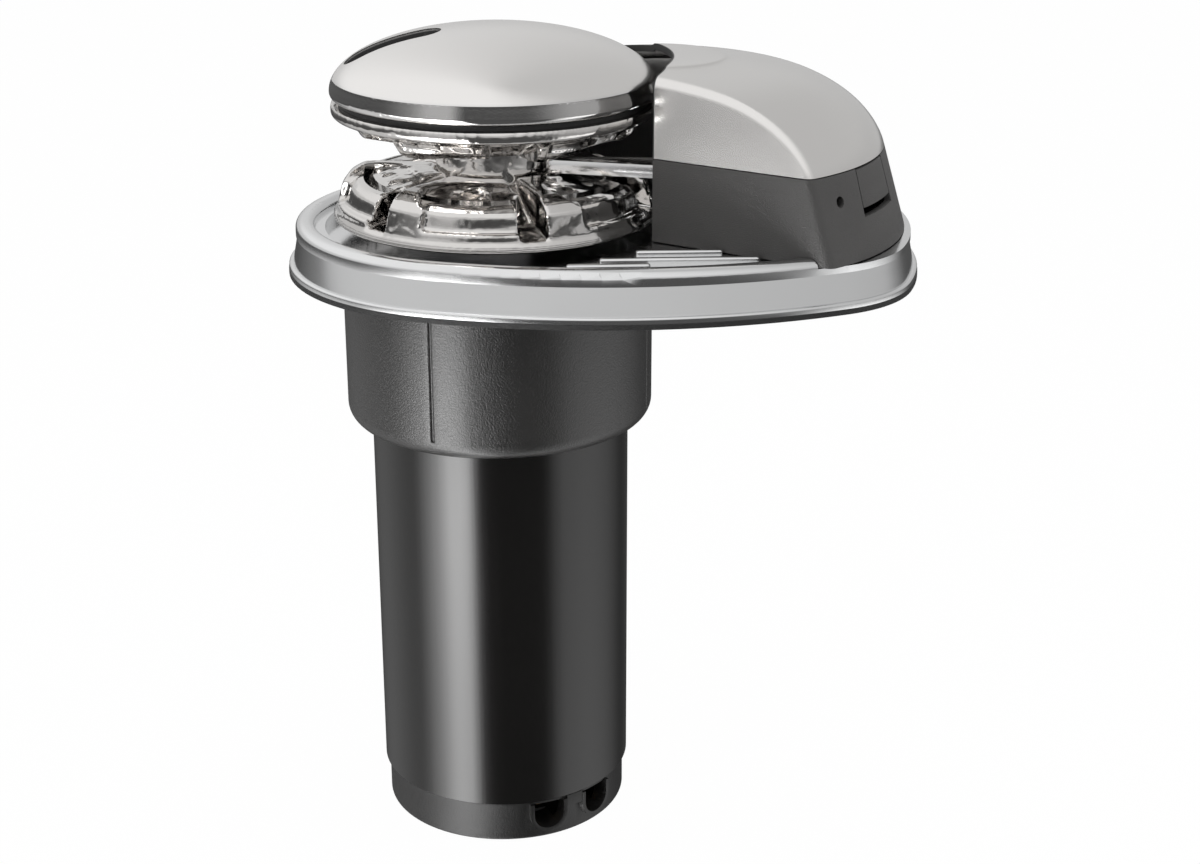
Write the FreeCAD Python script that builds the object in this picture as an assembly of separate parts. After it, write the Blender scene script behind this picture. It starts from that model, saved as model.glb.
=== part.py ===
import FreeCAD, Part
import math
import os

os.makedirs("parts", exist_ok=True)

V = FreeCAD.Vector
Z_AXIS = V(0, 0, 1)
ORIGIN = V(0, 0, 0)

# Driving dimensions in millimetres. The deck is the plane z = 0 and the shaft stands on the Z axis.
RUN = 0.05               # radial clearance of a running fit
GAP = 0.3                # air between faces that move past each other
GASKET_T = 2.0
DECK_Z = 17.0            # upper face of the base plate inside its rim

# base plate outline: four tangent arcs on each side of the X axis
END_R = 79.0             # gypsy end, about the shaft axis
SIDE_C = (45.5, 125.0)   # centre of the near long side
END_ANGLE = 180.0 + math.degrees(math.atan2(SIDE_C[1], SIDE_C[0]))
SIDE_ANGLE = -68.3       # where the long side meets the corner
CORNER_R = 48.0
NOSE_R = 120.0           # cover end
FOOT_H = 2.4             # bead that stands on the gasket
WALL_INSET_LOW = 1.5
WALL_INSET_TOP = 3.6
BEAD_INSET = 3.0
BEAD_W = 7.5
BEAD_TOP = 20.3
BEAD_END_X = 114.0       # the raised bead stops where the cover takes over
WELL_R = 65.0
WELL_Z = 13.5
RIB_W = 2.6
RIB_TOP = 18.8
RUB_RIBS = [(50.5, 79.5, -51.5), (37.0, 91.5, -61.5), (25.0, 52.0, -69.0)]
HAWSE = (98.0, 10.0)
HAWSE_R = 24.0
STUD_C = (30.0, 0.0)
STUD_SPACING = (160.0, 96.0)
STUD_R = 3.4
STUD_TOP = 13.0

# shaft and clutch
SHAFT_R = 12.5
THREAD_R = 10.0
SHAFT_BOTTOM = -30.0
SHAFT_STEP = 62.0
SHAFT_TOP = 82.0
KEY_W = 6.0
CONE_BIG = 34.0
CONE_SMALL = 29.0
LOW_CONE_Z = (20.4, 30.0)

# gypsy
FLANGE_R = 61.6
FLANGE_Z = 20.0
RING_R = 61.0
RING_Z = (60.2, 63.6)
WAIST_R = 22.5
HUB_Z = (36.5, 47.0)     # sleeve between the two halves
UP_SLOT_AT = -83.5
UP_SLOT_DEG = 21.0
POCKETS = 6
GAP_AT = -77.4           # direction of one slot for an upright link
SLOT_DEG = 10.0
TOOTH_DEG = 15.0
LINK_L = 40.8            # room for one lying link
LINK_W = 28.8
PITCH_R = 45.8
RIB_COUNT = 24
LOBE_TOP = 39.2

# cap
CAP_R = 61.3
CAP_Z = 65.6
UP_CONE_Z = (52.0, CAP_Z)  # the cap presses on the upper cone
CAP_EQUATOR = 68.0
CAP_TOP = 91.0
BAND_Z = 72.6            # upper edge of the rolled band

# stripper
FINGER_Z = (39.8, 44.6)
FINGER_TIP = (21.5, -16.2)
FINGER_TIP_R = 3.2
POST = (76.0, -24.0)

# cover
COVER_C = (61.0, 0.0)
COVER_SEAM_R = 84.5
COVER_FOOT_R = COVER_SEAM_R + 9.0
COVER_FOOT_Z = 17.4
SEAM_Z = 48.0
COVER_TOP = 80.0
COVER_CUT_R = 66.0
COVER_T = 2.5
WALL_A = (57.5, -35.0)
WALL_B = (113.0, -73.5)
FAR_R_FOOT = 204.0
FAR_R_SEAM = 197.0
CREASE_R = 4.0
LATCH_DEG = (-38.5, -21.5)
LATCH_Z = (34.0, 47.4)
SLOT_Z = 31.0

# gear housing and planetary gears
COLLAR_R = 59.2
COLLAR_Z = -59.5
COLLAR_FILLET = 7.0
RELIEF = (0.8, 0.9)      # step under the gasket: depth in radius, height
CAVITY_R = 51.0
CAVITY_Z = (-52.0, -14.0)
GROOVE_DEG = (-115.2, -18.5)
MODULE = 1.6
SUN_N = 12
PLANET_N = 21
RING_N = SUN_N + 2 * PLANET_N
PLANET_COUNT = 3
GEAR_Z = (-49.0, -33.0)
CARRIER_Z = (-31.5, -22.0)
CARRIER_R = 36.0
PIN_R = 4.5
ORBIT_R = MODULE * (SUN_N + PLANET_N) / 2

# motor
TUBE_R = 50.0
TUBE_T = 3.0
TUBE_Z = (-207.7, COLLAR_Z)
CAP_END_Z = -225.0
END_CAP_R = TUBE_R - 1.7
MAGNET_IN = TUBE_R - TUBE_T - 5.8
ROTOR_R = MAGNET_IN - 1.2
MAGNET_Z = (-172.0, -92.0)
ARM_R = 8.0
COMM_R = 16.0
COMM_Z = (-198.0, -184.0)
OUTLET_DEG = (-70.5, -44.1)
OUTLET_W = 12.5
TERMINAL_R = TUBE_R - 15.0


def unit(deg):
    a = math.radians(deg)
    return V(math.cos(a), math.sin(a), 0)


def turned(shape, deg, x=0.0, y=0.0):
    s = shape.copy()
    s.rotate(V(x, y, 0), Z_AXIS, deg)
    return s


def around(shape, count, start=0.0):
    return [turned(shape, start + 360.0 * i / count) for i in range(count)]


def cyl(r, z0, z1, x=0.0, y=0.0):
    return Part.makeCylinder(r, z1 - z0, V(x, y, z0))


def tube(r_out, r_in, z0, z1, x=0.0, y=0.0):
    return cyl(r_out, z0, z1, x, y).cut(cyl(r_in, z0 - 1, z1 + 1, x, y))


def box(x0, x1, y0, y1, z0, z1):
    return Part.makeBox(x1 - x0, y1 - y0, z1 - z0, V(x0, y0, z0))


def prism(points, z0, z1):
    wire = Part.makePolygon([V(x, y, z0) for x, y in points] + [V(points[0][0], points[0][1], z0)])
    return outward(Part.Face(wire).extrude(V(0, 0, z1 - z0)))


def lathe(points, start=0.0, sweep=360.0, x=0.0, y=0.0):
    """Turn a closed outline of (radius, z) points round a line parallel to Z."""
    wire = Part.makePolygon([V(r, 0, z) for r, z in points] + [V(points[0][0], 0, points[0][1])])
    solid = outward(Part.Face(wire).revolve(ORIGIN, Z_AXIS, sweep))
    solid = turned(solid, start)
    solid.translate(V(x, y, 0))
    return solid


def round_edges(shape, radius, test):
    edges = [e for e in shape.Edges if test(e)]
    return shape.makeFillet(radius, edges)


def at_z(z):
    return lambda e: abs(e.BoundBox.ZMin - z) < 0.01 and abs(e.BoundBox.ZMax - z) < 0.01


def save(name, shape):
    solids = shape.Solids
    result = solids[0] if len(solids) == 1 else shape
    print(name, "solids", len(solids), "faces", len(shape.Faces), "valid", shape.isValid())
    result.exportStep("parts/" + name + ".step")


def outline(inset, z):
    """Closed outline of the base plate, moved inwards by inset."""
    end_r = END_R - inset
    side_r = END_R + math.hypot(*SIDE_C)
    corner_c = V(SIDE_C[0], SIDE_C[1], 0) + unit(SIDE_ANGLE) * (side_r - CORNER_R)
    nose_x = corner_c.x - math.sqrt((NOSE_R - CORNER_R) ** 2 - corner_c.y ** 2)
    nose_angle = math.degrees(math.atan2(corner_c.y, corner_c.x - nose_x))
    side_c = V(SIDE_C[0], SIDE_C[1], 0)
    arcs = [
        (ORIGIN, end_r, 180.0, END_ANGLE),
        (side_c, side_r - inset, END_ANGLE, 360.0 + SIDE_ANGLE),
        (corner_c, CORNER_R - inset, SIDE_ANGLE, nose_angle),
        (V(nose_x, 0, 0), NOSE_R - inset, nose_angle, 0.0),
    ]
    near = []
    for centre, r, a0, a1 in arcs:
        pts = [centre + unit(a) * r + V(0, 0, z) for a in (a0, (a0 + a1) / 2, a1)]
        near.append(pts)
    edges = [Part.Arc(*pts).toShape() for pts in near]
    for pts in reversed(near):
        flipped = [V(p.x, -p.y, p.z) for p in reversed(pts)]
        edges.append(Part.Arc(*flipped).toShape())
    return Part.Wire(edges)


def outward(solid):
    if solid.Volume < 0:
        solid.reverse()
    return solid


def slab(inset, z0, z1):
    return outward(Part.Face(outline(inset, z0)).extrude(V(0, 0, z1 - z0)))


def cover_body(shrink, z_low):
    """The cover's outer form, or with shrink its hollow."""
    foot = COVER_FOOT_R - shrink
    seam = COVER_SEAM_R - shrink
    rise = COVER_TOP - shrink - SEAM_Z
    lean = (foot - seam) / (SEAM_Z - COVER_FOOT_Z)
    low_r = foot + lean * (COVER_FOOT_Z - z_low)
    shoulder = [(0.965, 0.20), (0.89, 0.435), (0.76, 0.67), (0.57, 0.845), (0.31, 0.96)]
    pts = [V(seam, 0, SEAM_Z)]
    pts += [V(seam * a, 0, SEAM_Z + rise * b) for a, b in shoulder]
    pts.append(V(0, 0, SEAM_Z + rise))
    curve = Part.BSplineCurve()
    curve.interpolate(Points=pts, InitialTangent=V(-lean, 0, 1), FinalTangent=V(-1, 0, 0))
    edges = [
        Part.LineSegment(V(0, 0, z_low), V(low_r, 0, z_low)).toShape(),
        Part.LineSegment(V(low_r, 0, z_low), V(seam, 0, SEAM_Z)).toShape(),
        curve.toShape(),
        Part.LineSegment(V(0, 0, SEAM_Z + rise), V(0, 0, z_low)).toShape(),
    ]
    dome = outward(Part.Face(Part.Wire(edges)).revolve(ORIGIN, Z_AXIS, 360))
    dome.translate(V(COVER_C[0], COVER_C[1], 0))
    slope = (FAR_R_FOOT - FAR_R_SEAM) / (SEAM_Z - COVER_FOOT_Z)
    far_low = FAR_R_FOOT - shrink + slope * (COVER_FOOT_Z - z_low)
    far_high = FAR_R_SEAM - shrink - slope * (COVER_TOP + 5 - SEAM_Z)
    far = Part.makeCone(far_low, far_high, COVER_TOP + 5 - z_low, V(SIDE_C[0], -SIDE_C[1], z_low))
    body = dome.common(far)
    a = V(WALL_A[0], WALL_A[1], 0)
    along = (V(WALL_B[0], WALL_B[1], 0) - a).normalize()
    normal = V(along.y, -along.x, 0)
    start = a - along * 80 - normal * shrink
    block = Part.makeBox(260, 80, 120)
    block.translate(V(0, -80, 0))
    block.rotate(ORIGIN, Z_AXIS, math.degrees(math.atan2(along.y, along.x)))
    block.translate(start)
    return body.cut(block)


def near_wall(edge):
    """True for the edges where the flat near wall turns into the dome and the nose."""
    a = V(WALL_A[0], WALL_A[1], 0)
    along = (V(WALL_B[0], WALL_B[1], 0) - a).normalize()
    normal = V(along.y, -along.x, 0)
    if edge.Length < 0.1:
        return False
    middle = edge.valueAt((edge.FirstParameter + edge.LastParameter) / 2)
    for p in [v.Point for v in edge.Vertexes] + [middle]:
        if abs((V(p.x, p.y, 0) - a).dot(normal)) > 0.05:
            return False
    return edge.BoundBox.ZMax - edge.BoundBox.ZMin > 1.0


def gear_outline(teeth, tip, root, spread):
    """Points of a gear with involute flanks; spread widens or thins each tooth."""
    pitch = MODULE * teeth / 2
    base = pitch * math.cos(math.radians(20))
    half = math.pi / (2 * teeth) + spread / (2 * pitch)

    def flank(r):
        r = max(r, base)
        t = math.acos(base / r)
        t0 = math.radians(20)
        return half + (math.tan(t0) - t0) - (math.tan(t) - t)

    radii = [root, (root + pitch) / 2 if root > base else base, pitch, tip]
    pts = []
    for i in range(teeth):
        c = 2 * math.pi * i / teeth
        for r in radii:
            pts.append((r * math.cos(c - flank(r)), r * math.sin(c - flank(r))))
        for r in reversed(radii):
            pts.append((r * math.cos(c + flank(r)), r * math.sin(c + flank(r))))
    return pts


def spur(teeth, z0, z1):
    pitch = MODULE * teeth / 2
    return prism(gear_outline(teeth, pitch + 0.8 * MODULE, pitch - 1.15 * MODULE, -0.3), z0, z1)


def screw(x, y, head_z, tip_z, r, head_r, head_h):
    """Socket head screw; head_z is the face under the head."""
    up = 1.0 if head_z > tip_z else -1.0
    shank = Part.makeCylinder(r, abs(head_z - tip_z), V(x, y, head_z), V(0, 0, -up))
    head = Part.makeCylinder(head_r, head_h, V(x, y, head_z), V(0, 0, up))
    hex_r = head_r * 0.55
    socket = prism([(x + hex_r * math.cos(math.radians(60 * i)), y + hex_r * math.sin(math.radians(60 * i)))
                    for i in range(6)], -head_h * 0.6, 0)
    top = head_z + up * head_h
    socket.translate(V(0, 0, top if up > 0 else top + head_h * 0.6))
    return shank.fuse(head).cut(socket).removeSplitter()


def bearing(r_in, r_out, z0, z1):
    mid = (r_in + r_out) / 2
    w = (r_out - r_in) * 0.16
    ring = tube(r_out, r_in, z0, z1)
    for z in (z0, z1):
        ring = ring.cut(tube(mid + w, mid - w, z - 0.8, z + 0.8))
    return ring


# base plate
foot = slab(0.0, GASKET_T, GASKET_T + FOOT_H)
foot = round_edges(foot, 1.0, at_z(GASKET_T + FOOT_H))
wall_low = outline(WALL_INSET_LOW, GASKET_T + FOOT_H - 0.5)
wall_top = outline(WALL_INSET_TOP, DECK_Z - 2.5)
wall = outward(Part.makeLoft([wall_low, wall_top], True, True))
crown = round_edges(slab(WALL_INSET_TOP, DECK_Z - 2.5, DECK_Z), 2.4, at_z(DECK_Z))
bead = slab(BEAD_INSET, DECK_Z - 2.5, BEAD_TOP)
bead = bead.cut(slab(BEAD_INSET + BEAD_W, DECK_Z - 4, BEAD_TOP + 1))
bead = round_edges(bead, BEAD_W / 2 - 0.6, at_z(BEAD_TOP))
bead = bead.cut(box(BEAD_END_X, 200, -120, 120, DECK_Z, 40))
deck_infill = slab(BEAD_INSET + BEAD_W - 0.5, DECK_Z - 4, DECK_Z)
plate = foot.fuse([wall, crown, bead, deck_infill])
plate = plate.cut(cover_body(-GAP - 0.2, DECK_Z))
plate = plate.cut(cyl(WELL_R, WELL_Z, 40))
plate = plate.fuse(cyl(26.0, WELL_Z - 1, WELL_Z + 2.0))
for x0, x1, y in RUB_RIBS:
    rib = box(x0, x1, y - RIB_W / 2, y + RIB_W / 2, DECK_Z - 1, RIB_TOP)
    for x in (x0, x1):
        rib = rib.fuse(cyl(RIB_W / 2, DECK_Z - 1, RIB_TOP, x, y))
    rib = rib.removeSplitter()
    plate = plate.fuse(round_edges(rib, 0.9, at_z(RIB_TOP)))
plate = plate.cut(cyl(HAWSE_R, -5, 40, *HAWSE))
stud_places = []
for sx in (-0.5, 0.5):
    for sy in (-0.5, 0.5):
        stud_places.append((STUD_C[0] + sx * STUD_SPACING[0], STUD_C[1] + sy * STUD_SPACING[1]))
for x, y in stud_places:
    plate = plate.cut(cyl(STUD_R, 0, STUD_TOP, x, y))
BEARING_R = 23.0
plate = plate.cut(cyl(BEARING_R, 0, 11.0))
plate = plate.cut(cyl(18.0, 10, 20))
HOUSING_SCREW_R = 40.0
housing_screws = [unit(45 + 90 * i) * HOUSING_SCREW_R for i in range(4)]
for p in housing_screws:
    plate = plate.cut(cyl(2.5, 0, 12.0, p.x, p.y))
COVER_SCREWS = [(140.0, 0.0), (84.0, 62.0)]
for x, y in COVER_SCREWS:
    plate = plate.cut(cyl(2.4, 7, 30, x, y))
plate = plate.cut(cyl(3.0, 7, 30, *POST))
save("base_plate", plate.removeSplitter())

gasket = slab(-0.2, 0.0, GASKET_T)
gasket = gasket.cut(cyl(COLLAR_R + 0.4, -1, 5))
gasket = gasket.cut(cyl(HAWSE_R, -1, 5, *HAWSE))
for x, y in stud_places:
    gasket = gasket.cut(cyl(STUD_R + 1.0, -1, 5, x, y))
save("base_gasket", gasket)

# cover: a bright dome on a black skirt, open towards the gypsy
outer = cover_body(0.0, COVER_FOOT_Z)
outer = round_edges(outer, CREASE_R, near_wall)
hollow = cover_body(COVER_T, COVER_FOOT_Z - 1)
gypsy_room = cyl(COVER_CUT_R, 0, 120)
shell = outer.cut(hollow).cut(gypsy_room)
above = box(-20, 200, -120, 120, SEAM_Z + 0.2, 120)
below = box(-20, 200, -120, 120, 0, SEAM_Z - 0.2)
save("cover_top", shell.common(above).removeSplitter())

# the skirt's upper edge carries a lip on which the top is centred
lip_gap = 0.25
lip_t = 1.5
inner_lip = cover_body(COVER_T + lip_gap + lip_t, SEAM_Z - 6)
lip = cover_body(COVER_T + lip_gap, SEAM_Z - 5).cut(inner_lip)
lip = lip.common(box(-20, 200, -120, 120, SEAM_Z - 5, SEAM_Z + 2.2)).cut(cyl(COVER_CUT_R + 1.5, 0, 120))
ledge = cover_body(COVER_T - 0.4, SEAM_Z - 5).cut(inner_lip)
ledge = ledge.common(box(-20, 200, -120, 120, SEAM_Z - 4, SEAM_Z - 0.7)).cut(cyl(COVER_CUT_R, 0, 120))
skirt = shell.common(below).fuse([lip, ledge])
for x, y in COVER_SCREWS:
    boss = cyl(6.0, COVER_FOOT_Z, 30.0, x, y)
    reach = box(x, x + 14, -4, 4, COVER_FOOT_Z, 30.0) if y == 0 else box(x - 4, x + 4, y, y + 16, COVER_FOOT_Z, 30.0)
    boss = boss.fuse(reach).common(cover_body(COVER_T - 0.6, COVER_FOOT_Z))
    skirt = skirt.fuse(boss)
    skirt = skirt.cut(cyl(2.6, 0, 40, x, y)).cut(cyl(4.8, 26.0, 40, x, y))
mid_deg = sum(LATCH_DEG) / 2
nose_hole = Part.makeCylinder(2.0, 30, V(COVER_C[0], COVER_C[1], 38.6) + unit(-47.3) * 75, unit(-47.3))
skirt = skirt.cut(nose_hole)


def nose_sector(d0, d1, z0, z1, r0=60.0):
    span = [V(COVER_C[0], 0, 0) + unit(d) * r for d, r in ((d0, r0), (d0, 130), (d1, 130), (d1, r0))]
    return prism([(p.x, p.y) for p in span], z0, z1)


window = nose_sector(LATCH_DEG[0] - 0.35, LATCH_DEG[1] + 0.35, SLOT_Z, SEAM_Z)
swing = nose_sector(LATCH_DEG[0] - 1.5, LATCH_DEG[1] + 1.5, SEAM_Z - 6, SEAM_Z + 4)
skirt = skirt.cut(window).cut(swing.common(cover_body(COVER_T, SEAM_Z - 8)))
save("cover_lower", skirt.removeSplitter())

latch = shell.common(nose_sector(LATCH_DEG[0], LATCH_DEG[1], LATCH_Z[0], LATCH_Z[1]))
hinge_dir = unit(mid_deg)
save("cover_latch", latch)
for i, (x, y) in enumerate(COVER_SCREWS):
    save("cover_screw_%d" % (i + 1), screw(x, y, 26.0, 8.0, 2.4, 4.5, 3.5))

# stripper: a straight finger whose round tip stands next to the hub
tip = V(FINGER_TIP[0], FINGER_TIP[1], 0)
near_dir = unit(-107.5) * FINGER_TIP_R
far_dir = unit(82.0) * FINGER_TIP_R
loop = [
    Part.Arc(tip + near_dir, tip + unit(167.0) * FINGER_TIP_R, tip + far_dir).toShape(),
    Part.LineSegment(tip + far_dir, V(66.0, -16.5, 0)).toShape(),
    Part.LineSegment(V(66.0, -16.5, 0), V(80.0, -16.0, 0)).toShape(),
    Part.LineSegment(V(80.0, -16.0, 0), V(84.0, -24.0, 0)).toShape(),
    Part.LineSegment(V(84.0, -24.0, 0), V(78.0, -34.0, 0)).toShape(),
    Part.LineSegment(V(78.0, -34.0, 0), V(64.0, -31.8, 0)).toShape(),
    Part.LineSegment(V(64.0, -31.8, 0), tip + near_dir).toShape(),
]
finger = outward(Part.Face(Part.Wire(loop)).extrude(V(0, 0, FINGER_Z[1] - FINGER_Z[0])))
finger.translate(V(0, 0, FINGER_Z[0]))
post = cyl(8.0, DECK_Z, FINGER_Z[0] + 1, *POST)
stripper = finger.fuse(post).cut(cyl(3.1, 0, 60, *POST)).removeSplitter()
save("chain_stripper", stripper)
save("stripper_screw", screw(POST[0], POST[1], FINGER_Z[1], 8.0, 3.0, 5.5, 3.5))

# main shaft with its key, stop ring and seal
shaft = cyl(SHAFT_R, SHAFT_BOTTOM, SHAFT_STEP).fuse(cyl(THREAD_R, SHAFT_STEP, SHAFT_TOP))
shaft = shaft.makeChamfer(1.0, [e for e in shaft.Edges if at_z(SHAFT_TOP)(e)])
key_room = box(SHAFT_R - 3.5, SHAFT_R + 3.0, -KEY_W / 2, KEY_W / 2, LOW_CONE_Z[0] - 4, SHAFT_STEP - 1)
key = box(SHAFT_R - 3.5, SHAFT_R + 2.8, -KEY_W / 2, KEY_W / 2, LOW_CONE_Z[0] - 3.9, LOW_CONE_Z[1])
low_key_room = box(SHAFT_R - 3.5, SHAFT_R + 3.0, -KEY_W / 2, KEY_W / 2, LOW_CONE_Z[0] - 3.9, LOW_CONE_Z[1])
up_key_room = box(SHAFT_R - 3.5, SHAFT_R + 3.0, -KEY_W / 2, KEY_W / 2, UP_CONE_Z[0], SHAFT_STEP - 1)
up_key = box(SHAFT_R - 3.5, SHAFT_R + 2.8, -KEY_W / 2, KEY_W / 2, UP_CONE_Z[0], SHAFT_STEP - 1)
gear_key_room = box(SHAFT_R - 3.5, SHAFT_R + 3.0, -KEY_W / 2, KEY_W / 2, CARRIER_Z[0] + 1.5, CARRIER_Z[1])
gear_key = box(SHAFT_R - 3.5, SHAFT_R + 2.8, -KEY_W / 2, KEY_W / 2, CARRIER_Z[0] + 1.5, CARRIER_Z[1])
shaft = shaft.cut([low_key_room, up_key_room, gear_key_room])
stop_z = (LOW_CONE_Z[0] - 5.2, LOW_CONE_Z[0] - 3.9)
shaft = shaft.cut(tube(SHAFT_R + 1, SHAFT_R - 1.2, *stop_z))
save("main_shaft", shaft)
save("shaft_key_low", key)
save("shaft_key_top", up_key)
save("shaft_key_gear", gear_key)
save("cone_stop_ring", tube(SHAFT_R + 3.0, SHAFT_R - 1.2, *stop_z))
seal = tube(18.0, SHAFT_R + 1.2, 11.0, WELL_Z + 1.0)
seal = seal.fuse(lathe([(SHAFT_R + RUN, 12.0), (SHAFT_R + 1.6, 11.2), (SHAFT_R + 1.6, 13.2)]))
save("shaft_seal", seal.removeSplitter())
save("bearing_upper", bearing(SHAFT_R + RUN, BEARING_R, 2.0, 11.0))
save("bearing_lower", bearing(SHAFT_R + RUN, BEARING_R, -12.0, -2.0))

# friction cones
low_cone = lathe([(SHAFT_R, LOW_CONE_Z[0] - 3.9), (22.0, LOW_CONE_Z[0] - 3.9), (22.0, LOW_CONE_Z[0]),
                  (CONE_BIG - GAP, LOW_CONE_Z[0]), (CONE_SMALL - GAP, LOW_CONE_Z[1]), (SHAFT_R, LOW_CONE_Z[1])])
save("lower_clutch_cone", low_cone.cut(low_key_room))
up_cone = lathe([(SHAFT_R, UP_CONE_Z[0]), (CONE_SMALL - GAP, UP_CONE_Z[0]), (CONE_BIG - GAP, RING_Z[1]),
                 (CONE_BIG - GAP, UP_CONE_Z[1]), (SHAFT_R, UP_CONE_Z[1])])
save("upper_clutch_cone", up_cone.cut(up_key_room))

# lower gypsy: flange, six lobes with a tall tooth and a pocket for the lying link, rope ribs
BORE_R = SHAFT_R + RUN
disc = lathe([(BORE_R, LOW_CONE_Z[1]), (CONE_SMALL, LOW_CONE_Z[1]), (CONE_BIG, FLANGE_Z),
              (FLANGE_R - 1.4, FLANGE_Z), (FLANGE_R, FLANGE_Z + 1.2), (FLANGE_R, FLANGE_Z + 2.6),
              (FLANGE_R - 1.4, FLANGE_Z + 4.2), (44.0, 26.2), (31.0, 32.5), (WAIST_R + 1.5, HUB_Z[0]),
              (BORE_R, HUB_Z[0])])
lobe_profile = [(WAIST_R + 0.6, 34.0), (WAIST_R + 0.6, LOBE_TOP - 1), (WAIST_R + 2.0, LOBE_TOP), (46.0, LOBE_TOP - 0.2), (51.2, 38.4), (55.4, 36.0),
                (57.8, 32.8), (59.0, 28.6), (60.2, 24.4), (58.0, 23.0), (40.0, 25.0), (30.0, 30.0)]
period = 360.0 / POCKETS
lobe_deg = period - SLOT_DEG
lobe = lathe(lobe_profile, SLOT_DEG / 2, lobe_deg)
pocket_at = SLOT_DEG / 2 + TOOTH_DEG + (lobe_deg - TOOTH_DEG) / 2
straight = LINK_L - LINK_W
pocket = box(-LINK_W / 2, LINK_W / 2, -straight / 2, straight / 2, 0, 12)
for side in (-1, 1):
    pocket = pocket.fuse(cyl(LINK_W / 2, 0, 12, 0, side * straight / 2))
pocket = pocket.removeSplitter()
pocket.rotate(ORIGIN, V(0, 1, 0), 10.0)
pocket.translate(V(PITCH_R, 0, 36.0))
pocket = turned(pocket, pocket_at)
shoulder = lathe([(51.0, 41.5), (52.2, 35.2), (55.2, 32.6), (57.0, 27.0), (63.0, 27.0), (63.0, 41.5)],
                 SLOT_DEG / 2 + TOOTH_DEG, lobe_deg - TOOTH_DEG + 1)
lobe = lobe.cut(pocket).cut(shoulder)
lobes = [turned(lobe, GAP_AT + period * i) for i in range(POCKETS)]
rope_rib = box(26.5, 43.5, -0.9, 0.9, 30.0, 37.6)
rope_rib.rotate(V(26.5, 0, 0), Z_AXIS, 12.0)
ribs = [turned(rope_rib, GAP_AT + 7.5 + 360.0 / RIB_COUNT * i) for i in range(RIB_COUNT)]
low = disc.fuse(lobes + ribs)
low = low.cut(tube(80, FLANGE_R, 0, 60))
GYPSY_SCREW_R = 18.4
for p in [unit(30 + 120 * i) * GYPSY_SCREW_R for i in range(3)]:
    low = low.cut(cyl(2.5, 31.0, 60, p.x, p.y))
save("lower_gypsy", low.removeSplitter())
hub = tube(WAIST_R, BORE_R, *HUB_Z)
for p in [unit(30 + 120 * i) * GYPSY_SCREW_R for i in range(3)]:
    hub = hub.cut(cyl(2.6, 30.0, 60, p.x, p.y))
save("gypsy_hub", hub)

# upper gypsy: rim ring, bowl and six hanging lugs, each with a shallow panel on its outside
bowl = lathe([(BORE_R, HUB_Z[1]), (WAIST_R, HUB_Z[1]), (25.0, 48.6), (30.5, 50.2), (36.0, 53.6), (46.0, 57.2), (57.5, 58.8),
              (60.2, 59.4), (RING_R, RING_Z[0]), (RING_R, RING_Z[1]), (CONE_BIG, RING_Z[1]),
              (CONE_SMALL, UP_CONE_Z[0]), (BORE_R, UP_CONE_Z[0])])
lug_profile = [(23.5, 47.6), (38.0, 48.2), (47.4, 49.6), (50.6, 51.4), (52.4, 53.8), (54.6, 57.0), (59.0, 59.2),
               (46.0, 59.8), (36.0, 55.0), (27.0, 50.4)]
lug_deg = period - UP_SLOT_DEG
lug = lathe(lug_profile, UP_SLOT_DEG / 2, lug_deg)
panel = lathe([(51.2, 53.6), (60.0, 53.6), (60.0, 57.6), (53.6, 57.6)], UP_SLOT_DEG / 2 + 4.0, lug_deg - 8.0)
lug = lug.cut(panel)
hollow_link = box(-LINK_W / 2, LINK_W / 2, -straight / 2, straight / 2, -10, 0)
for side in (-1, 1):
    hollow_link = hollow_link.fuse(cyl(LINK_W / 2, -10, 0, 0, side * straight / 2))
hollow_link = hollow_link.removeSplitter()
hollow_link.rotate(ORIGIN, V(0, 1, 0), -14.0)
hollow_link.translate(V(PITCH_R, 0, 52.4))
lugs = [turned(lug, UP_SLOT_AT + period * i) for i in range(POCKETS)]
up = bowl.fuse(lugs)
for i in range(POCKETS):
    up = up.cut(turned(hollow_link, GAP_AT + pocket_at + period * i))
for p in [unit(30 + 120 * i) * GYPSY_SCREW_R for i in range(3)]:
    up = up.cut(cyl(2.6, 40, 60, p.x, p.y)).cut(cyl(4.7, 49.0, 60, p.x, p.y).common(cyl(CONE_SMALL, 40, 53)))
save("upper_gypsy", up.removeSplitter())
for i in range(3):
    p = unit(30 + 120 * i) * GYPSY_SCREW_R
    save("gypsy_screw_%d" % (i + 1), screw(p.x, p.y, 49.0, 31.5, 2.5, 4.5, 2.8))

# clutch cap: half of an ellipse on a rolled band, with a socket for the handle
rise = CAP_TOP - CAP_EQUATOR
band_r = CAP_R * math.sqrt(1 - ((BAND_Z - CAP_EQUATOR) / rise) ** 2)
dome_arc = Part.Arc(Part.Ellipse(V(CAP_R, 0, CAP_EQUATOR), V(0, 0, CAP_TOP), V(0, 0, CAP_EQUATOR)), 0, math.pi / 2)
cap_edges = [
    dome_arc.toShape(),
    Part.LineSegment(V(0, 0, CAP_TOP), V(0, 0, CAP_Z)).toShape(),
    Part.LineSegment(V(0, 0, CAP_Z), V(CAP_R - 2.4, 0, CAP_Z)).toShape(),
    Part.Arc(V(CAP_R - 2.4, 0, CAP_Z), V(CAP_R - 0.7, 0, CAP_Z + 0.7), V(CAP_R, 0, CAP_EQUATOR)).toShape(),
]
cap = outward(Part.Face(Part.Wire(cap_edges)).revolve(ORIGIN, Z_AXIS, 360))
cap = cap.cut(lathe([(band_r - 0.5, BAND_Z), (band_r + 3, BAND_Z), (band_r + 3, BAND_Z + 0.7)]))
cap = cap.cut(lathe([(CAP_R - 23.3, CAP_Z - 1), (CAP_R - 7.3, CAP_Z - 1), (CAP_R - 7.3, CAP_Z + 2.0),
                     (CAP_R - 15.3, CAP_Z + 8.0), (CAP_R - 23.3, CAP_Z + 11.0)]))
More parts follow.
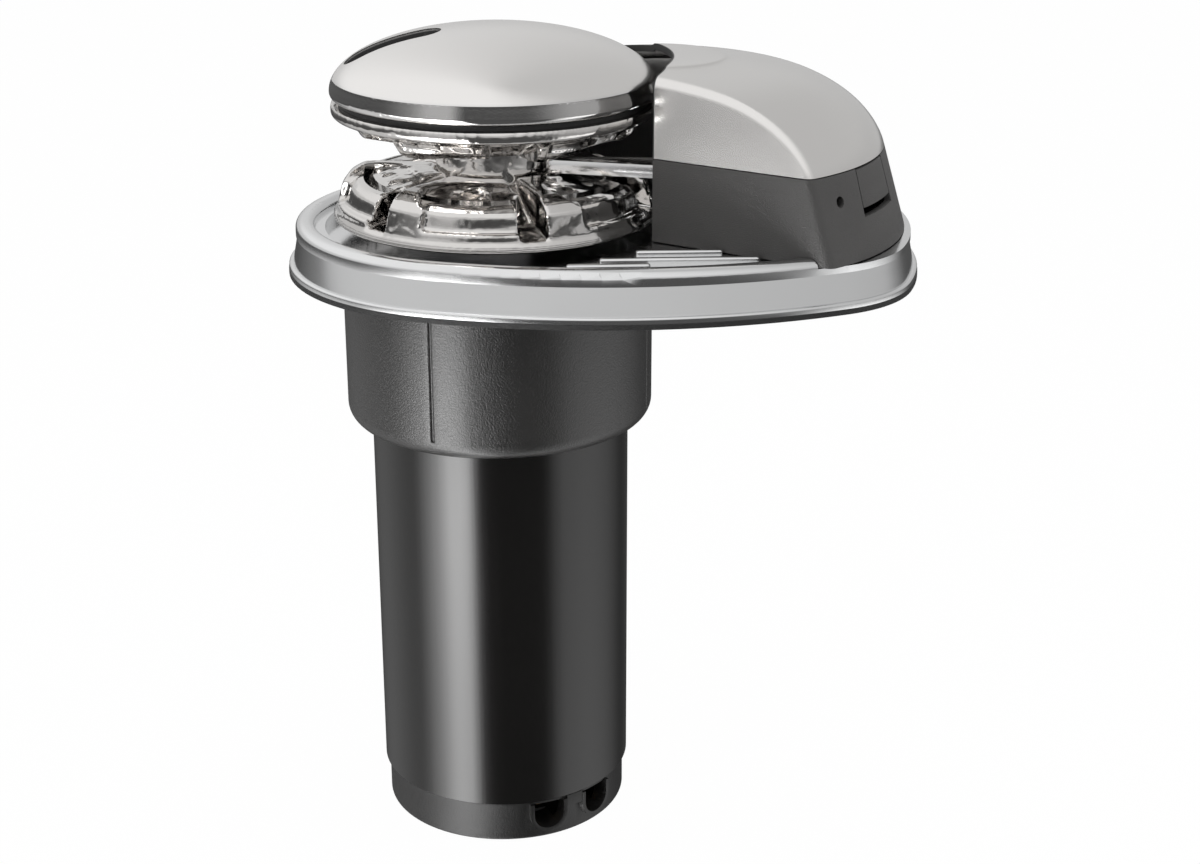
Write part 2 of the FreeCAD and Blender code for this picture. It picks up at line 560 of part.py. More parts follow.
cap = cap.cut(cyl(THREAD_R + RUN, CAP_Z - 2, SHAFT_TOP + 1))
SOCKET_L = 38.0
SOCKET_W = 15.0
SOCKET_DEG = 184.0
socket_r = CAP_R - 23.3
socket_z = CAP_EQUATOR + rise * math.sqrt(1 - (socket_r / CAP_R) ** 2)
flat = SOCKET_L - SOCKET_W
recess = box(-flat / 2, flat / 2, -SOCKET_W / 2, SOCKET_W / 2, -6, 20)
for side in (-1, 1):
    recess = recess.fuse(cyl(SOCKET_W / 2, -6, 20, side * flat / 2, 0))
recess = recess.removeSplitter()
recess.rotate(ORIGIN, V(0, 1, 0), 16.5)
recess.translate(V(socket_r, 0, socket_z))
cap = cap.cut(turned(recess, SOCKET_DEG))
save("clutch_cap", cap)
save("cap_seal", tube(CAP_R - 3.2, CAP_R - 7.3, RING_Z[1], CAP_Z))

# gear housing: the collar that stands through the deck
housing = cyl(COLLAR_R, COLLAR_Z, GASKET_T)
housing = round_edges(housing, COLLAR_FILLET, at_z(COLLAR_Z))
housing = housing.cut(tube(COLLAR_R + 2, COLLAR_R - RELIEF[0], -RELIEF[1], GASKET_T + 1))
housing = housing.cut(cyl(CAVITY_R, COLLAR_Z - 1, CAVITY_Z[1]))
housing = housing.cut(cyl(BEARING_R, -12.0, GASKET_T + 1)).cut(cyl(BEARING_R - 3, -20, 0))
for p in housing_screws:
    housing = housing.cut(cyl(2.6, -20, 5, p.x, p.y)).cut(cyl(4.8, -20, -9.0, p.x, p.y))
for d in GROOVE_DEG:
    p = unit(d) * COLLAR_R
    groove = Part.makeBox(1.2, 1.2, -COLLAR_Z - COLLAR_FILLET - 2, V(-0.6, -0.6, 0))
    groove.rotate(ORIGIN, Z_AXIS, 45 + d)
    groove.translate(V(p.x, p.y, COLLAR_Z + COLLAR_FILLET))
    housing = housing.cut(groove)
save("gear_housing", housing.removeSplitter())
for i, p in enumerate(housing_screws):
    save("housing_screw_%d" % (i + 1), screw(p.x, p.y, -9.0, 10.0, 2.5, 4.5, 3.5))

ring_pitch = MODULE * RING_N / 2
ring = cyl(CAVITY_R, GEAR_Z[0], GEAR_Z[1])
cutter = prism(gear_outline(RING_N, ring_pitch + 1.15 * MODULE, ring_pitch - 0.8 * MODULE, 0.3),
               GEAR_Z[0] - 1, GEAR_Z[1] + 1)
save("ring_gear", ring.cut(cutter))
carrier = cyl(CARRIER_R, CARRIER_Z[0], CARRIER_Z[1]).cut(cyl(SHAFT_R, SHAFT_BOTTOM, 0))
carrier = carrier.cut(gear_key_room)
pins = [unit(120.0 * i) * ORBIT_R for i in range(PLANET_COUNT)]
for p in pins:
    carrier = carrier.cut(cyl(PIN_R, -60, 0, p.x, p.y))
save("planet_carrier", carrier)
for i, p in enumerate(pins):
    pin = cyl(PIN_R, GEAR_Z[0] - 0.5, CARRIER_Z[1], p.x, p.y)
    pin = pin.fuse(cyl(PIN_R + 1.8, GEAR_Z[0] - 1.5, GEAR_Z[0], p.x, p.y)).removeSplitter()
    save("planet_pin_%d" % (i + 1), pin)
    gear = spur(PLANET_N, *GEAR_Z).cut(cyl(PIN_R + RUN, -60, 0))
    gear = gear.cut(tube(12.0, 8.5, GEAR_Z[0] - 1, GEAR_Z[0] + 2))
    gear = gear.cut(tube(12.0, 8.5, GEAR_Z[1] - 2, GEAR_Z[1] + 1))
    gear.translate(V(ORBIT_R, 0, 0))
    save("planet_gear_%d" % (i + 1), turned(gear, 120.0 * i))
save("sun_gear", spur(SUN_N, *GEAR_Z).cut(cyl(5.0, -60, 0)))

# motor
flange = cyl(CAVITY_R, COLLAR_Z, CAVITY_Z[0]).cut(cyl(TUBE_R - TUBE_T - 3, COLLAR_Z - 1, COLLAR_Z + 2.5))
flange = flange.cut(cyl(16.0, -60, -53.5)).cut(cyl(ARM_R + 1, -60, -50))
save("motor_flange", flange)
save("motor_bearing_drive", bearing(ARM_R + RUN, 16.0, COLLAR_Z, -53.5))
save("motor_tube", tube(TUBE_R, TUBE_R - TUBE_T, *TUBE_Z))
for i in range(4):
    magnet = lathe([(MAGNET_IN, MAGNET_Z[0]), (TUBE_R - TUBE_T, MAGNET_Z[0]), (TUBE_R - TUBE_T, MAGNET_Z[1]),
                    (MAGNET_IN, MAGNET_Z[1])], 90.0 * i + 9, 72)
    save("magnet_%d" % (i + 1), magnet)
arm = cyl(ARM_R, -219.0, -50.0).fuse(cyl(5.0, -51, GEAR_Z[1] + 0.5))
save("armature_shaft", arm)
core = tube(ROTOR_R, ARM_R, -168.0, -96.0)
for p in around(box(ROTOR_R - 7, ROTOR_R + 1, -1.6, 1.6, -170, -90), 12):
    core = core.cut(p)
save("armature_core", core)
for name, z0, z1 in (("winding_drive", -96.0, -84.0), ("winding_end", -180.0, -168.0)):
    coil = tube(ROTOR_R - 3, ARM_R + 2, z0, z1)
    save(name, round_edges(coil, 3.0, lambda e: e.BoundBox.XLength > 60 and e.BoundBox.ZLength < 0.01))
save("commutator", tube(COMM_R, ARM_R, COMM_Z[0], -180.0).cut(tube(COMM_R + 1, COMM_R - 2, COMM_Z[1], -179)))
brush_z = (COMM_Z[0] + 1.5, COMM_Z[1] - 1.5)
holder = tube(TUBE_R - TUBE_T, 22.0, -203.0, -200.0)
for s in (0, 180):
    cage = box(21.0, 34.0, -6.5, 6.5, -200.5, brush_z[1] + 1.5)
    cage = cage.cut(box(20.0, 36.0, -4.5, 4.5, brush_z[0], brush_z[1]))
    holder = holder.fuse(turned(cage, s))
for d in OUTLET_DEG:
    p = unit(d) * TERMINAL_R
    holder = holder.cut(cyl(3.0, -220, -190, p.x, p.y))
save("brush_plate", holder.removeSplitter())
for i in range(2):
    brush = box(COMM_R - 1, 30.0, -4.5, 4.5, brush_z[0], brush_z[1]).cut(cyl(COMM_R + RUN, -220, -150))
    save("brush_%d" % (i + 1), turned(brush, 180.0 * i))

# end cap with two cable outlets; each has a raised lip
end = cyl(END_CAP_R, CAP_END_Z, TUBE_Z[0] - 1.2)
end = round_edges(end, 1.5, at_z(CAP_END_Z))
end = end.fuse(cyl(END_CAP_R + 0.8, TUBE_Z[0] - 1.2, TUBE_Z[0]))
end = end.fuse(cyl(TUBE_R - TUBE_T - 2 * RUN, TUBE_Z[0], -203.0))
tab = box(END_CAP_R - 2, END_CAP_R + 1.6, -3.6, 3.6, TUBE_Z[0] - 5.0, TUBE_Z[0])
end = end.fuse(turned(tab, sum(OUTLET_DEG) / 2))


def outlet(width, depth, r0, r1, low):
    """A U-shaped block along +X, open at the top, whose round end is at z = low."""
    half = width / 2
    block = box(r0, r1, -half, half, low + half, low + depth)
    block = block.fuse(Part.makeCylinder(half, r1 - r0, V(r0, 0, low + half), V(1, 0, 0)))
    return block.cut(box(r0 - 1, r1 + 1, -half - 1, half + 1, low + depth, low + width + 2))


for d in OUTLET_DEG:
    lip_block = outlet(OUTLET_W + 3.0, 12.8, 40.0, END_CAP_R + 1.5, TUBE_Z[0] - 14.0)
    end = end.fuse(turned(lip_block, d))
end = end.cut(cyl(END_CAP_R - 4.5, -219.0, -200.0))
end = end.fuse(tube(18.0, 14.0, -222.0, -209.0)).cut(cyl(14.0, -219.0, -205.0))
for d in OUTLET_DEG:
    end = end.cut(turned(outlet(OUTLET_W, 11.3, 36.0, END_CAP_R + 6, TUBE_Z[0] - 12.5), d))
save("motor_end_cap", end.removeSplitter())
save("motor_bearing_end", bearing(ARM_R + RUN, 14.0, -219.0, -211.0))
for i, d in enumerate(OUTLET_DEG):
    p = unit(d) * TERMINAL_R
    stud = cyl(3.0, -216.0, -200.0, p.x, p.y).fuse(cyl(5.5, -207.0, -203.0, p.x, p.y))
    save("terminal_%d" % (i + 1), stud.removeSplitter())
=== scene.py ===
import math
import bpy
from mathutils import Euler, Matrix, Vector

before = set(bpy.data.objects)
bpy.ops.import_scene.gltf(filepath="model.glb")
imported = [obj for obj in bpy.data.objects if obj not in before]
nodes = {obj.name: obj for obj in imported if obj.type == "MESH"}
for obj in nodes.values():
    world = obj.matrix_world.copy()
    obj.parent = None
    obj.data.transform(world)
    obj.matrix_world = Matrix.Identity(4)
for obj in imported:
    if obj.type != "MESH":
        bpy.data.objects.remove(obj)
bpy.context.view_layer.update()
scene = bpy.context.scene

# camera fitted to the photograph, in metres and degrees
CAM_AT = (0.0, -0.760, 0.2135)
CAM_DIP = 20.4
CAM_TURN = -2.95
FOCAL_PX = 2050.0
PHOTO_WIDTH_PX = 1200.0
SENSOR_MM = 36.0

# the cap is half an ellipse over its equator; the mirror band is its lower edge
CAP_R, CAP_EQUATOR, CAP_RISE = 0.0613, 0.0680, 0.0230
BAND_TOP, BAND_BLUR = 0.0726, 0.0012
BAND_RISE_MM = 4.6
BAND_SLOPE_PER_MM = 0.1165
BAND_LIFT = 0.00286
# from these depths under the crown the socket's inside is painted near black, as painted shade in the
# recess
SOCKET_SINK, SOCKET_EDGE = 0.0003, 0.0012

# the cover's wall towards the cap stands on this radius; that wall is painted black as painted shade in
# the gap to the cap
CUT_R = 0.0660

# gypsy faces outside this radius shade as more upright
FACE_R, FACE_BLUR = 0.046, 0.004
WAVE_DEPTH = 0.00055

WELD = 2e-6
SMOOTH_BELOW = 28
BEVEL_ABOVE = 30
PLAIN_BEVEL_MM = 0.12
WIDE_BEVEL_MM = 0.3
BEVELS_MM = {"base_plate": 0.25, "clutch_cap": 0.5, "cover_top": 0.3, "cover_lower": 0.35,
             "cover_latch": 0.4, "chain_stripper": 0.7, "gear_housing": 0.25,
             "motor_end_cap": 0.35, "motor_tube": 0.3}

# cast pieces: skin grain in metres and rounds of smoothing
CAST = {"lower_gypsy": (0.0007, 6), "upper_gypsy": (0.0006, 5)}

# stage
FLOOR_Z = -0.2262
FLOOR_HALF = 4.0
WHITE_SHARE = 0.985

# reflection cards: radius in metres, foot and head as angles of height, rows between them
BOWL = (3.0, -89.9, -13.8, 12)
RING = (2.95, -14.0, -3.0, 3)
ROOM = (2.9, -3.2, 89.9, 18)

# headings of the two soft boxes in degrees, each from dark to full and back to dark
LEFT_BOX = (-86.0, -46.0, -33.0, -20.0)
LEFT_CORE = (-62.0, -42.0)
RIGHT_BOX = (58.0, 72.0, 140.0)
RIGHT_FOOT_IN_BOWL, RIGHT_FOOT_IN_RING = 36.0, 18.0


class Val:
    """A shader value: sums and products of values build the nodes."""

    def __init__(self, tree, sock):
        self.tree = tree
        self.sock = sock

    def op(self, kind, *args, **settings):
        n = self.tree.nodes.new("ShaderNodeMath")
        n.operation = kind
        for k, v in settings.items():
            setattr(n, k, v)
        for i, a in enumerate((self,) + args):
            if isinstance(a, Val):
                self.tree.links.new(a.sock, n.inputs[i])
            else:
                n.inputs[i].default_value = a
        return Val(self.tree, n.outputs[0])

    def __add__(self, b): return self.op("ADD", b)
    __radd__ = __add__
    def __sub__(self, b): return self.op("SUBTRACT", b)
    def __rsub__(self, b): return self.op("MULTIPLY", -1.0).op("ADD", b)
    def __mul__(self, b): return self.op("MULTIPLY", b)
    __rmul__ = __mul__
    def __truediv__(self, b): return self.op("DIVIDE", b)
    def __pow__(self, b): return self.op("POWER", b)
    def above(self, b): return self.op("GREATER_THAN", b)
    def top(self, b): return self.op("MAXIMUM", b)
    def low(self, b): return self.op("MINIMUM", b)
    def root(self): return self.op("SQRT")

    def clamp(self):
        return self.op("ADD", 0.0, use_clamp=True)

    def clamp_to(self, a, b):
        return self.top(a).low(b)

    def ramp(self, a, b):
        """0 at a, 1 at b, smooth between."""
        t = ((self - a) / (b - a)).clamp()
        return t * t * (3.0 - 2.0 * t)


class Graph:
    """One node tree, emptied and then built up."""

    def __init__(self, tree):
        self.tree = tree
        tree.nodes.clear()

    def add(self, kind, settings=None, sockets=None):
        """One node: its settings first, then the values or links of its sockets."""
        n = self.tree.nodes.new(kind)
        for k, v in (settings or {}).items():
            setattr(n, k, v)
        for k, v in (sockets or {}).items():
            if isinstance(v, Val):
                self.tree.links.new(v.sock, n.inputs[k])
            else:
                n.inputs[k].default_value = v
        return n

    def node(self, kind, settings=None, sockets=None, out=0):
        n = self.add(kind, settings, sockets)
        return Val(self.tree, n.outputs[out]) if len(n.outputs) else None

    def place(self):
        """The piece's own coordinates."""
        return self.node("ShaderNodeTexCoord", None, None, "Object")

    def xyz(self, v):
        n = self.add("ShaderNodeSeparateXYZ", None, {0: v})
        return [Val(self.tree, o) for o in n.outputs]

    def noise(self, coords, scale, detail=3.0, rough=0.5, distort=0.0):
        return self.node("ShaderNodeTexNoise", None, {"Vector": coords, "Scale": scale, "Detail": detail,
                                                       "Roughness": rough, "Distortion": distort})

    def stretch(self, coords, sx, sy, sz):
        return self.node("ShaderNodeMapping", None, {"Vector": coords, "Scale": (sx, sy, sz)})

    def mix(self, t, a, b):
        """Colour a where t is 0, b where it is 1."""
        return self.node("ShaderNodeMix", {"data_type": "RGBA"}, {0: t, 6: a, 7: b}, 2)

    def bump(self, height, strength, distance):
        return self.node("ShaderNodeBump", None,
                         {"Height": height, "Strength": strength, "Distance": distance})

    def meets_white(self):
        """1 for the camera, glossy and transmission rays that meet the white."""
        path = self.add("ShaderNodeLightPath")
        seen = Val(self.tree, path.outputs["Is Camera Ray"])
        for kind in ("Is Glossy Ray", "Is Transmission Ray"):
            seen = seen.top(Val(self.tree, path.outputs[kind]))
        return seen


def from_axis(x, y):
    return (x * x + y * y).root()


def grey(v, warm=0.0):
    return (v * (1 + warm), v, v * (1 - warm), 1.0)


def finish(name, build):
    mat = bpy.data.materials.new(name)
    mat.use_nodes = True
    g = Graph(mat.node_tree)
    surface = g.node("ShaderNodeBsdfPrincipled", None, build(g, g.place()))
    g.node("ShaderNodeOutputMaterial", None, {"Surface": surface})
    return mat


def metal(light, dark, rough, spread, grain, wave=0.0, wave_scale=60.0, warm=0.0):
    """Bare metal whose tone, gloss and surface vary a little from place to place."""
    def build(g, p):
        cloud = g.noise(p, 22.0, 4.0)
        fine = g.noise(p, grain, 2.0)
        out = {
            "Base Color": g.mix(cloud, grey(dark, warm), grey(light, warm)),
            "Metallic": 1.0,
            "Roughness": rough + spread * (cloud - 0.5) + spread * 0.6 * (fine - 0.5),
        }
        if wave:
            out["Normal"] = g.bump(g.noise(p, wave_scale, 3.0, 0.55, 0.4), wave, 0.002)
        return out
    return build


def plastic(tone, rough, grain, depth, warm=0.0, coat=0.0):
    """Dark moulded surface with a fine raised grain."""
    def build(g, p):
        cloud = g.noise(p, 18.0, 3.0)
        height = g.noise(p, grain, 2.0, 0.6)
        return {
            "Base Color": g.mix(cloud, grey(tone * 0.8, warm), grey(tone * 1.2, warm)),
            "Roughness": rough + 0.10 * (cloud - 0.5) + 0.12 * (height - 0.5),
            "Coat Weight": coat,
            "Coat Roughness": 0.25,
            "Normal": g.bump(height, depth, 0.0006),
        }
    return build


def dome_build(g, p):
    """Satin crown, mirror band that shades as upright, and painted shade: the handle's socket coloured
    near black inside.
    """
    x, y, z = g.xyz(p)
    cloud = g.noise(p, 30.0, 3.0)
    fine = g.noise(p, 2200.0, 2.0)
    mirror = z.ramp(BAND_TOP + BAND_BLUR, BAND_TOP)
    lean = ((z - CAP_EQUATOR) * 1000.0).clamp_to(0.0, BAND_RISE_MM) * BAND_SLOPE_PER_MM
    upright = BAND_LIFT * ((1.0 + lean * lean) ** 1.5)
    share = (1.0 - (from_axis(x, y) / CAP_R) ** 2.0).top(0.0)
    crown = CAP_EQUATOR + CAP_RISE * share.root()
    # painted shade: inside the handle's socket the colour goes near black, not metal and rougher, as if
    # the recess lay in shade
    socket_painted_shade = (crown - z).ramp(SOCKET_SINK, SOCKET_EDGE) * z.above(CAP_EQUATOR + 0.002)
    satin = 0.22 + 0.04 * (cloud - 0.5) + 0.05 * (fine - 0.5)
    tone = g.mix(mirror, grey(0.80, 0.020), grey(0.74, 0.012))
    return {
        "Base Color": g.mix(socket_painted_shade, tone, grey(0.030)),
        "Metallic": 1.0 - socket_painted_shade,
        "Roughness": satin * (1.0 - mirror) + mirror * 0.08 + socket_painted_shade * 0.25,
        "Normal": g.bump(upright + fine * 0.00001, 1.0, 1.0),
    }


def cover_build(g, p):
    """Brushed cover; its wall towards the cap is painted black, as painted shade in the gap to the cap."""
    x, y, z = g.xyz(p)
    cloud = g.noise(p, 20.0, 4.0)
    fine = g.noise(g.stretch(p, 1.0, 6.0, 1.0), 900.0, 2.0)
    # painted shade: the wall facing the cap is coloured black and not metal, standing in for the shade in
    # the gap between cover and cap
    cut_wall_painted_shade = from_axis(x, y).ramp(CUT_R + 0.0008, CUT_R + 0.0004)
    return {
        "Base Color": g.mix(cut_wall_painted_shade, g.mix(cloud, grey(0.73, 0.020), grey(0.78, 0.020)), grey(0.012)),
        "Metallic": 1.0 - cut_wall_painted_shade,
        "Roughness": 0.20 + 0.04 * (cloud - 0.5) + 0.06 * (fine - 0.5) + 0.3 * cut_wall_painted_shade,
        "Normal": g.bump(fine, 0.012, 0.0002),
    }


def cast_build(foot, brow, lean):
    """Polished casting: soft waves, and faces that shade as more upright from foot to brow."""
    def build(g, p):
        x, y, z = g.xyz(p)
        cloud = g.noise(p, 26.0, 3.0)
        wave = g.noise(p, 105.0, 2.0, 0.45, 0.3)
        fine = g.noise(p, 1500.0, 2.0)
        face = from_axis(x, y).ramp(FACE_R, FACE_R + FACE_BLUR)
        upright = z.clamp_to(foot, brow) * lean * face
        return {
            "Base Color": g.mix(cloud, grey(0.60, 0.030), grey(0.74, 0.022)),
            "Metallic": 1.0,
            "Roughness": 0.09 + 0.05 * (cloud - 0.5) + 0.03 * (fine - 0.5),
            "Normal": g.bump(upright + wave * WAVE_DEPTH, 1.0, 1.0),
        }
    return build


def tube_build(g, p):
    """Black tube with faint lines drawn along it."""
    cloud = g.noise(p, 14.0, 3.0)
    drawn = g.noise(g.stretch(p, 1.0, 1.0, 0.03), 420.0, 2.0)
    return {
        "Base Color": g.mix(cloud, grey(0.004, 0.08), grey(0.007, 0.08)),
        "Roughness": 0.20 + 0.04 * (cloud - 0.5) + 0.04 * (drawn - 0.5),
        "Normal": g.bump(drawn, 0.04, 0.0004),
    }


# each finish with the nodes that wear it, by the start of their names; the first match counts
FINISHES = [
    ("base_polish", metal(0.78, 0.72, 0.15, 0.03, 900.0, 0.0, 60.0, -0.004), ["base_plate"]),
    ("gypsy_cast_polish", cast_build(0.0225, 0.0335, 0.30), ["lower_gypsy", "gypsy_hub"]),
    ("gypsy_top_polish", cast_build(0.0500, 0.0590, 0.10), ["upper_gypsy"]),
    ("dome_satin", dome_build, ["clutch_cap"]),
    ("cover_polish", cover_build, ["cover_top"]),
    ("finger_polish", metal(0.86, 0.80, 0.16, 0.04, 600.0), ["chain_stripper"]),
    ("skirt_grain", plastic(0.050, 0.50, 2000.0, 0.40, 0.03), ["cover_lower", "cover_latch"]),
    ("collar_leather", plastic(0.012, 0.34, 1500.0, 0.50, 0.06, 0.5), ["gear_housing"]),
    ("tube_black", tube_build, ["motor_tube"]),
    ("end_black", plastic(0.005, 0.46, 1500.0, 0.15, 0.06), ["motor_end_cap"]),
    ("rubber_black", plastic(0.010, 0.60, 1200.0, 0.30), ["base_gasket", "cap_seal", "shaft_seal"]),
    ("fastener_steel", metal(0.62, 0.50, 0.26, 0.08, 800.0),
     ["cover_screw", "gypsy_screw", "housing_screw", "stripper_screw", "shaft_key", "cone_stop"]),
    ("machined_steel", metal(0.56, 0.46, 0.24, 0.08, 900.0),
     ["main_shaft", "armature_shaft", "planet_", "sun_gear", "ring_gear", "upper_clutch", "lower_clutch"]),
    ("bronze_bare", metal(0.55, 0.42, 0.30, 0.08, 700.0, 0.0, 60.0, 0.45), ["terminal"]),
    ("bearing_ground", metal(0.68, 0.60, 0.16, 0.05, 900.0), ["bearing", "motor_bearing"]),
    ("alloy_cast", metal(0.60, 0.52, 0.42, 0.10, 700.0, 0.3, 300.0), ["motor_flange"]),
    ("ferrite_dark", plastic(0.05, 0.55, 900.0, 0.3), ["magnet"]),
    ("core_laminated", metal(0.34, 0.24, 0.45, 0.10, 600.0), ["armature_core"]),
    ("copper_varnish", metal(0.42, 0.32, 0.30, 0.10, 500.0, 0.5, 500.0, 0.6), ["winding", "commutator"]),
    ("board_brown", plastic(0.09, 0.50, 900.0, 0.2, 0.5), ["brush_plate"]),
    ("carbon_black", plastic(0.03, 0.50, 1500.0, 0.3), ["brush_"]),
]


def smooth_group(angle_deg):
    """Welds doubled corners, then shades every edge flatter than the angle as smooth."""
    tree = bpy.data.node_groups.new("smooth_%d" % angle_deg, "GeometryNodeTree")
    for way in ("INPUT", "OUTPUT"):
        tree.interface.new_socket("Geometry", in_out=way, socket_type="NodeSocketGeometry")
    g = Graph(tree)
    whole = g.node("NodeGroupInput")
    welded = g.node("GeometryNodeMergeByDistance", None, {"Geometry": whole, "Distance": WELD})
    sharp = g.node("FunctionNodeCompare", {"operation": "GREATER_THAN"},
                   {0: g.node("GeometryNodeInputMeshEdgeAngle"), 1: math.radians(angle_deg)})
    soft = g.node("GeometryNodeSetShadeSmooth", None, {"Geometry": welded})
    edged = g.node("GeometryNodeSetShadeSmooth", {"domain": "EDGE"},
                   {"Geometry": soft, "Selection": sharp, "Shade Smooth": False})
    g.node("NodeGroupOutput", None, {0: edged})
    return tree


def wear(o, mat):
    if not o.data.materials:
        o.data.materials.append(mat)
    for i in range(len(o.data.materials)):
        o.data.materials[i] = mat


def round_casting(o, grain, rounds):
    """A fine skin over the casting, smoothed so that its edges look cast and polished."""
    skin = o.modifiers.new("skin", "REMESH")
    skin.mode = "VOXEL"
    skin.voxel_size = grain
    soft = o.modifiers.new("soft", "SMOOTH")
    soft.factor = 0.5
    soft.iterations = rounds


def break_edges(o, width_mm):
    edge = o.modifiers.new("edge", "BEVEL")
    edge.width = width_mm / 1000
    edge.segments = 3 if width_mm > WIDE_BEVEL_MM else 1
    edge.limit_method = "ANGLE"
    edge.angle_limit = math.radians(BEVEL_ABOVE)


mats = [(finish(name, build), tuple(starts)) for name, build, starts in FINISHES]
smooth = smooth_group(SMOOTH_BELOW)
for name, o in nodes.items():
    wear(o, next(mat for mat, starts in mats if name.startswith(starts)))
    weld = o.modifiers.new("weld", "WELD")
    weld.merge_threshold = WELD
    if name in CAST:
        round_casting(o, *CAST[name])
    else:
        break_edges(o, BEVELS_MM.get(name, PLAIN_BEVEL_MM))
    shade = o.modifiers.new("smooth", "NODES")
    shade.node_group = smooth

cam_data = bpy.data.cameras.new("camera")
cam = bpy.data.objects.new("camera", cam_data)
scene.collection.objects.link(cam)
cam.location = CAM_AT
cam.rotation_euler = Euler((math.radians(90 - CAM_DIP), 0.0, math.radians(CAM_TURN)))
cam_data.lens = FOCAL_PX / PHOTO_WIDTH_PX * SENSOR_MM
cam_data.sensor_width = SENSOR_MM
scene.camera = cam


# the stage is a white studio, but reflections meet three grey cards that close round the object,
# so metal shows the cards' greys and not the white
def stage_finish(name, build):
    mat = bpy.data.materials.new(name)
    mat.use_nodes = True
    g = Graph(mat.node_tree)
    g.node("ShaderNodeOutputMaterial", None, {"Surface": build(g)})
    return mat


def glow(g, level):
    tone = g.node("ShaderNodeCombineColor", None, {0: level, 1: level, 2: level})
    return g.node("ShaderNodeEmission", None, {"Color": tone, "Strength": 1.0})


def pale_build(g):
    """White where a camera, mirror or glass ray meets it, plain cloth for the rest.

    Mirror rays pass the floor and meet the cards first, so their share has no effect here.
    """
    cloth = g.node("ShaderNodeBsdfDiffuse", None, {"Color": (0.80, 0.80, 0.80, 1.0)})
    white = g.node("ShaderNodeEmission", None, {"Color": (1.0, 1.0, 1.0, 1.0), "Strength": 1.0})
    return g.node("ShaderNodeMixShader", None, {0: g.meets_white() * WHITE_SHARE, 1: cloth, 2: white})


def heading(g):
    """Angle in degrees around the object: 0 towards the camera, positive to its right."""
    x, y, z = g.xyz(g.place())
    return x.op("ARCTAN2", y * -1.0) * (180.0 / math.pi), x, y, z


def boxes(side, right_foot):
    """Where the two soft boxes stand: the strong one left of the camera, the faint one right."""
    rise, full, still_full, end = LEFT_BOX
    core_foot, core_full = LEFT_CORE
    core = 0.66 + 0.50 * side.ramp(core_foot, core_full)
    left = side.ramp(rise, full) * side.ramp(end, still_full) * core
    full, still_full, end = RIGHT_BOX
    return left, side.ramp(right_foot, full) * side.ramp(end, still_full)


def bowl_build(g):
    """Dark below, where the black plastic mirrors little but the soft boxes."""
    side, x, y, z = heading(g)
    left, right = boxes(side, RIGHT_FOOT_IN_BOWL)
    haze = side.ramp(-170.0, -105.0) * side.ramp(-30.0, -50.0)
    under = z.ramp(-0.84, -1.02) * (1.0 - 0.40 * z.ramp(-1.12, -1.60))
    return glow(g, 0.09 + (10.0 * under + 0.42) * left + 0.6 * haze + 1.25 * right)


def ring_build(g):
    """Foot of the room: the boxes stand up through a dark wall."""
    side, x, y, z = heading(g)
    left, right = boxes(side, RIGHT_FOOT_IN_RING)
    return glow(g, 0.08 + 0.18 * z.ramp(-0.6, -0.1) + 0.36 * left + 0.30 * right)


def room_build(g):
    """Pale room: white on the left and in front, greyer to the right and behind."""
    side, x, y, z = heading(g)
    turn = (0.9 * x + 0.35 * y) / from_axis(x, y).top(0.4)
    high = 1.0 - 0.40 * turn.ramp(-0.5, 0.85)
    low = 0.62 - 0.08 * turn
    up = z.ramp(0.25, 0.95)
    return glow(g, low * (1.0 - up) + high * up)


def stage_mesh(name, points, faces, material):
    mesh = bpy.data.meshes.new(name)
    mesh.from_pydata(points, [], faces)
    mesh.materials.append(material)
    o = bpy.data.objects.new(name, mesh)
    scene.collection.objects.link(o)
    return o


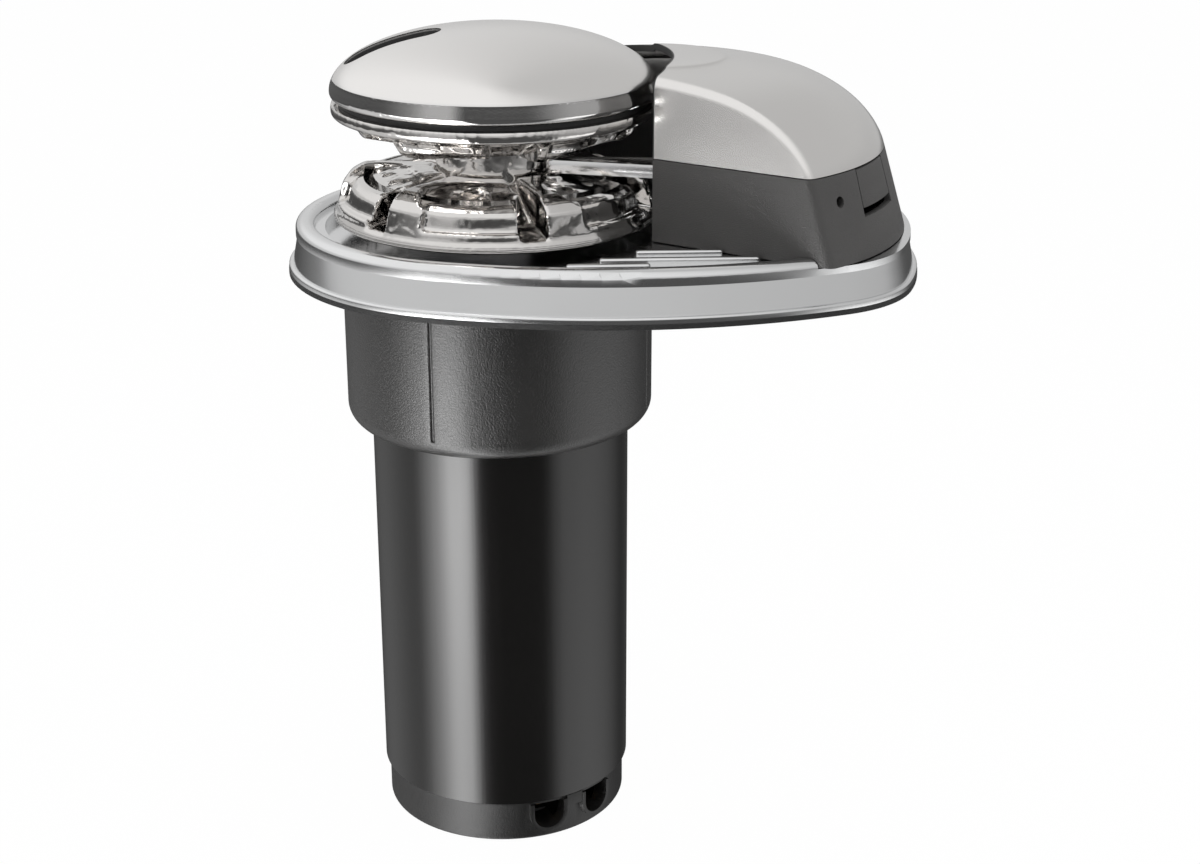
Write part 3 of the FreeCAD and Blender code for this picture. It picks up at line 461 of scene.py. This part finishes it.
def card(name, shape, material, steps=48):
    """Part of a sphere round the object, between two angles of height, for reflections alone."""
    radius, foot, head, rows = shape
    points = []
    for j in range(rows + 1):
        rise = math.radians(foot + (head - foot) * j / rows)
        reach = max(radius * math.cos(rise), 0.001)
        for i in range(steps + 1):
            a = math.radians(360.0 * i / steps - 180.0)
            points.append((reach * math.sin(a), -reach * math.cos(a), radius * math.sin(rise)))
    n = steps + 1
    faces = [(j * n + i, j * n + i + 1, j * n + n + i + 1, j * n + n + i)
             for j in range(rows) for i in range(steps)]
    o = stage_mesh(name, points, faces, material)
    o.visible_camera = False
    o.visible_diffuse = False
    o.visible_transmission = False
    o.visible_shadow = False


def soft_light(name, place, aim, size, power, tall=None):
    data = bpy.data.lights.new(name, "AREA")
    data.energy = power
    data.size = size
    if tall:
        data.shape = "RECTANGLE"
        data.size_y = tall
    lamp = bpy.data.objects.new(name, data)
    lamp.location = place
    lamp.rotation_euler = (Vector(aim) - Vector(place)).to_track_quat("-Z", "Y").to_euler()
    lamp.visible_camera = False
    lamp.visible_glossy = False
    scene.collection.objects.link(lamp)


corners = [(sx * FLOOR_HALF, sy * FLOOR_HALF, FLOOR_Z) for sx, sy in ((-1, -1), (1, -1), (1, 1), (-1, 1))]
floor = stage_mesh("floor", corners, [(0, 1, 2, 3)], stage_finish("floor_pale", pale_build))
floor.visible_glossy = False
card("bowl_card", BOWL, stage_finish("bowl_dark", bowl_build))
card("ring_card", RING, stage_finish("ring_dark", ring_build))
card("room_card", ROOM, stage_finish("room_pale", room_build))

world = bpy.data.worlds.new("studio")
scene.world = world
world.use_nodes = True
g = Graph(world.node_tree)
studio = g.node("ShaderNodeBackground", None, {"Color": (0.55, 0.55, 0.56, 1.0), "Strength": 1.0})
white = g.node("ShaderNodeBackground", None, {"Color": (1.0, 1.0, 1.0, 1.0), "Strength": 1.0})
both = g.node("ShaderNodeMixShader", None, {0: g.meets_white(), 1: studio, 2: white})
g.node("ShaderNodeOutputWorld", None, {"Surface": both})

soft_light("key", (-0.60, -0.70, 0.45), (0, 0, -0.05), 0.20, 4.0, 0.9)
soft_light("fill", (0.85, -0.25, 0.25), (0.05, 0, -0.05), 0.16, 2.5, 0.9)
soft_light("top", (0.1, 0.1, 1.0), (0.03, 0, 0.05), 0.8, 4.0)

scene.view_settings.view_transform = "Standard"
